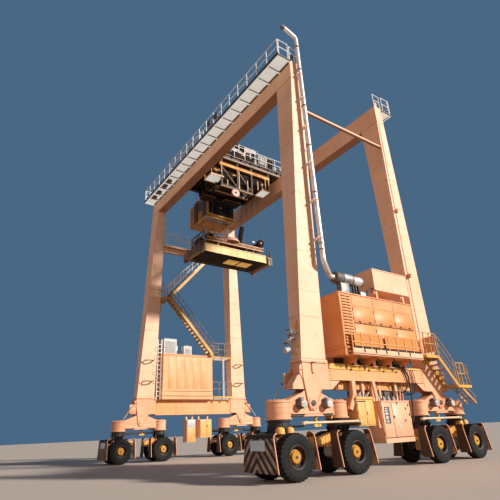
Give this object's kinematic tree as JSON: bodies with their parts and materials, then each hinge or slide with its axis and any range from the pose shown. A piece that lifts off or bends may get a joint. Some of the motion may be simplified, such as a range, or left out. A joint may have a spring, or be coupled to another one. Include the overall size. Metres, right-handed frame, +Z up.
{
  "type": "rubber-tyred gantry crane",
  "caption": "Rubber-tyred gantry crane with two end frames on steerable twin-tyre bogies, a travelling hoist trolley with cabin, and a telescopic container spreader.",
  "frame": {"origin": "on the ground under the centre of the whole crane", "axes": "+Z up, +X along the span towards the generator end frame, +Y along the girders' walkway side away from the near leg, which is the crane's direction of travel"},
  "size_m": [19.3, 12.87, 21.7498],
  "materials": {
    "frame_paint": "satin",
    "yellow_paint": "satin",
    "generator_paint": "satin",
    "tyre_rubber": "matte",
    "silver_pipe": "satin",
    "dark_steel": "satin",
    "grey_machine": "satin",
    "grating": "matte",
    "rope_steel": "oily",
    "rail_steel": "worn",
    "cabin_paint": "satin",
    "rail_paint": "satin"
  },
  "bodies": {
    "crane_frame": {"near_right_leg": "frame_paint", "far_right_leg": "frame_paint", "near_left_leg": "frame_paint", "far_left_leg": "frame_paint", "leg_feet": "frame_paint", "right_sill_beam": "frame_paint", "left_sill_beam": "frame_paint", "near_girder": "frame_paint", "far_girder": "frame_paint", "trolley_rails": "rail_steel", "right_tie_tube": "frame_paint", "cross_bridge": "frame_paint", "girder_walkways": "grating", "generator_house": "generator_paint", "generator_platform": "frame_paint", "cooler_box": "generator_paint", "muffler": "dark_steel", "exhaust_pipe": "silver_pipe", "hanging_cabinets": "frame_paint", "access_stair": "yellow_paint", "electrical_house": "frame_paint", "roof_air_units": "frame_paint", "left_platforms": "grating", "zigzag_stair": "yellow_paint", "cable_hooks": "dark_steel", "floodlights": "grey_machine", "railings": "rail_paint"},
    "near_right_bogie": {"near_right_equaliser": "frame_paint"},
    "near_right_outer_unit": {"near_right_outer_axle_unit": "frame_paint"},
    "near_right_outer_wheel_set": {"near_right_outer_wheels": "tyre_rubber"},
    "near_right_inner_unit": {"near_right_inner_axle_unit": "frame_paint"},
    "near_right_inner_wheel_set": {"near_right_inner_wheels": "tyre_rubber"},
    "near_right_rod": {"near_right_tie_rod": "rail_paint"},
    "far_right_bogie": {"far_right_equaliser": "frame_paint"},
    "far_right_outer_unit": {"far_right_outer_axle_unit": "frame_paint"},
    "far_right_outer_wheel_set": {"far_right_outer_wheels": "tyre_rubber"},
    "far_right_inner_unit": {"far_right_inner_axle_unit": "frame_paint"},
    "far_right_inner_wheel_set": {"far_right_inner_wheels": "tyre_rubber"},
    "far_right_rod": {"far_right_tie_rod": "rail_paint"},
    "near_left_bogie": {"near_left_equaliser": "frame_paint"},
    "near_left_outer_unit": {"near_left_outer_axle_unit": "frame_paint"},
    "near_left_outer_wheel_set": {"near_left_outer_wheels": "tyre_rubber"},
    "near_left_inner_unit": {"near_left_inner_axle_unit": "frame_paint"},
    "near_left_inner_wheel_set": {"near_left_inner_wheels": "tyre_rubber"},
    "near_left_rod": {"near_left_tie_rod": "rail_paint"},
    "far_left_bogie": {"far_left_equaliser": "frame_paint"},
    "far_left_outer_unit": {"far_left_outer_axle_unit": "frame_paint"},
    "far_left_outer_wheel_set": {"far_left_outer_wheels": "tyre_rubber"},
    "far_left_inner_unit": {"far_left_inner_axle_unit": "frame_paint"},
    "far_left_inner_wheel_set": {"far_left_inner_wheels": "tyre_rubber"},
    "far_left_rod": {"far_left_tie_rod": "rail_paint"},
    "trolley": {"trolley_frame": "yellow_paint", "deck_machinery": "grey_machine", "trolley_railing": "rail_paint", "operator_cabin": "cabin_paint", "hoist_ropes": "rope_steel"},
    "spreader": {"headblock": "yellow_paint", "spreader_frame": "yellow_paint"},
    "near_spreader_arm": {"near_arm": "yellow_paint"},
    "far_spreader_arm": {"far_arm": "yellow_paint"}
  },
  "joints": [
    {"name": "near_right_bogie_rock", "type": "hinge", "parent": "crane_frame", "child": "near_right_bogie", "pos_m": [8.59, -4.07, 2.48], "axis": [1, 0, 0], "range_deg": [-2, 2]},
    {"name": "near_right_outer_steer", "type": "hinge", "parent": "near_right_bogie", "child": "near_right_outer_unit", "pos_m": [8.59, -5.52, 1.8], "axis": [0, 0, 1], "range_deg": [-90, 0]},
    {"name": "near_right_inner_steer", "type": "hinge", "parent": "near_right_bogie", "child": "near_right_inner_unit", "pos_m": [8.59, -2.62, 1.8], "axis": [0, 0, 1], "range_deg": [-90, 0]},
    {"name": "near_right_rod_pin", "type": "hinge", "parent": "near_right_outer_unit", "child": "near_right_rod", "pos_m": [9.21, -4.9, 1.79], "axis": [0, 0, 1], "range_deg": [0, 90]},
    {"name": "near_right_outer_roll", "type": "hinge", "parent": "near_right_outer_unit", "child": "near_right_outer_wheel_set", "pos_m": [8.59, -5.52, 0.75], "axis": [1, 0, 0], "continuous": true},
    {"name": "near_right_inner_roll", "type": "hinge", "parent": "near_right_inner_unit", "child": "near_right_inner_wheel_set", "pos_m": [8.59, -2.62, 0.75], "axis": [1, 0, 0], "continuous": true},
    {"name": "far_right_bogie_rock", "type": "hinge", "parent": "crane_frame", "child": "far_right_bogie", "pos_m": [8.59, 4.07, 2.48], "axis": [1, 0, 0], "range_deg": [-2, 2]},
    {"name": "far_right_outer_steer", "type": "hinge", "parent": "far_right_bogie", "child": "far_right_outer_unit", "pos_m": [8.59, 5.52, 1.8], "axis": [0, 0, 1], "range_deg": [0, 90]},
    {"name": "far_right_inner_steer", "type": "hinge", "parent": "far_right_bogie", "child": "far_right_inner_unit", "pos_m": [8.59, 2.62, 1.8], "axis": [0, 0, 1], "range_deg": [0, 90]},
    {"name": "far_right_rod_pin", "type": "hinge", "parent": "far_right_outer_unit", "child": "far_right_rod", "pos_m": [9.21, 4.9, 1.79], "axis": [0, 0, 1], "range_deg": [-90, 0]},
    {"name": "far_right_outer_roll", "type": "hinge", "parent": "far_right_outer_unit", "child": "far_right_outer_wheel_set", "pos_m": [8.59, 5.52, 0.75], "axis": [1, 0, 0], "continuous": true},
    {"name": "far_right_inner_roll", "type": "hinge", "parent": "far_right_inner_unit", "child": "far_right_inner_wheel_set", "pos_m": [8.59, 2.62, 0.75], "axis": [1, 0, 0], "continuous": true},
    {"name": "near_left_bogie_rock", "type": "hinge", "parent": "crane_frame", "child": "near_left_bogie", "pos_m": [-8.59, -4.07, 2.48], "axis": [1, 0, 0], "range_deg": [-2, 2]},
    {"name": "near_left_outer_steer", "type": "hinge", "parent": "near_left_bogie", "child": "near_left_outer_unit", "pos_m": [-8.59, -5.52, 1.8], "axis": [0, 0, 1], "range_deg": [0, 90]},
    {"name": "near_left_inner_steer", "type": "hinge", "parent": "near_left_bogie", "child": "near_left_inner_unit", "pos_m": [-8.59, -2.62, 1.8], "axis": [0, 0, 1], "range_deg": [0, 90]},
    {"name": "near_left_rod_pin", "type": "hinge", "parent": "near_left_outer_unit", "child": "near_left_rod", "pos_m": [-9.21, -4.9, 1.79], "axis": [0, 0, 1], "range_deg": [-90, 0]},
    {"name": "near_left_outer_roll", "type": "hinge", "parent": "near_left_outer_unit", "child": "near_left_outer_wheel_set", "pos_m": [-8.59, -5.52, 0.75], "axis": [1, 0, 0], "continuous": true},
    {"name": "near_left_inner_roll", "type": "hinge", "parent": "near_left_inner_unit", "child": "near_left_inner_wheel_set", "pos_m": [-8.59, -2.62, 0.75], "axis": [1, 0, 0], "continuous": true},
    {"name": "far_left_bogie_rock", "type": "hinge", "parent": "crane_frame", "child": "far_left_bogie", "pos_m": [-8.59, 4.07, 2.48], "axis": [1, 0, 0], "range_deg": [-2, 2]},
    {"name": "far_left_outer_steer", "type": "hinge", "parent": "far_left_bogie", "child": "far_left_outer_unit", "pos_m": [-8.59, 5.52, 1.8], "axis": [0, 0, 1], "range_deg": [-90, 0]},
    {"name": "far_left_inner_steer", "type": "hinge", "parent": "far_left_bogie", "child": "far_left_inner_unit", "pos_m": [-8.59, 2.62, 1.8], "axis": [0, 0, 1], "range_deg": [-90, 0]},
    {"name": "far_left_rod_pin", "type": "hinge", "parent": "far_left_outer_unit", "child": "far_left_rod", "pos_m": [-9.21, 4.9, 1.79], "axis": [0, 0, 1], "range_deg": [0, 90]},
    {"name": "far_left_outer_roll", "type": "hinge", "parent": "far_left_outer_unit", "child": "far_left_outer_wheel_set", "pos_m": [-8.59, 5.52, 0.75], "axis": [1, 0, 0], "continuous": true},
    {"name": "far_left_inner_roll", "type": "hinge", "parent": "far_left_inner_unit", "child": "far_left_inner_wheel_set", "pos_m": [-8.59, 2.62, 0.75], "axis": [1, 0, 0], "continuous": true},
    {"name": "trolley_travel", "type": "slide", "parent": "crane_frame", "child": "trolley", "axis": [1, 0, 0], "range_m": [-2, 9.3]},
    {"name": "spreader_hoist", "type": "slide", "parent": "trolley", "child": "spreader", "axis": [0, 0, 1], "range_m": [-12.4, 2.6], "deforming": ["hoist_ropes"]},
    {"name": "near_arm_reach", "type": "slide", "parent": "spreader", "child": "near_spreader_arm", "axis": [0, -1, 0], "range_m": [0, 3.066]},
    {"name": "far_arm_reach", "type": "slide", "parent": "spreader", "child": "far_spreader_arm", "axis": [0, 1, 0], "range_m": [0, 3.066]}
  ],
  "couplings": [
    {"joint": "near_right_inner_steer", "follows": "near_right_outer_steer", "ratio": 1},
    {"joint": "near_right_rod_pin", "follows": "near_right_outer_steer", "ratio": -1},
    {"joint": "far_right_inner_steer", "follows": "far_right_outer_steer", "ratio": 1},
    {"joint": "far_right_rod_pin", "follows": "far_right_outer_steer", "ratio": -1},
    {"joint": "near_left_inner_steer", "follows": "near_left_outer_steer", "ratio": 1},
    {"joint": "near_left_rod_pin", "follows": "near_left_outer_steer", "ratio": -1},
    {"joint": "far_left_inner_steer", "follows": "far_left_outer_steer", "ratio": 1},
    {"joint": "far_left_rod_pin", "follows": "far_left_outer_steer", "ratio": -1},
    {"joint": "far_arm_reach", "follows": "near_arm_reach", "ratio": 1}
  ]
}
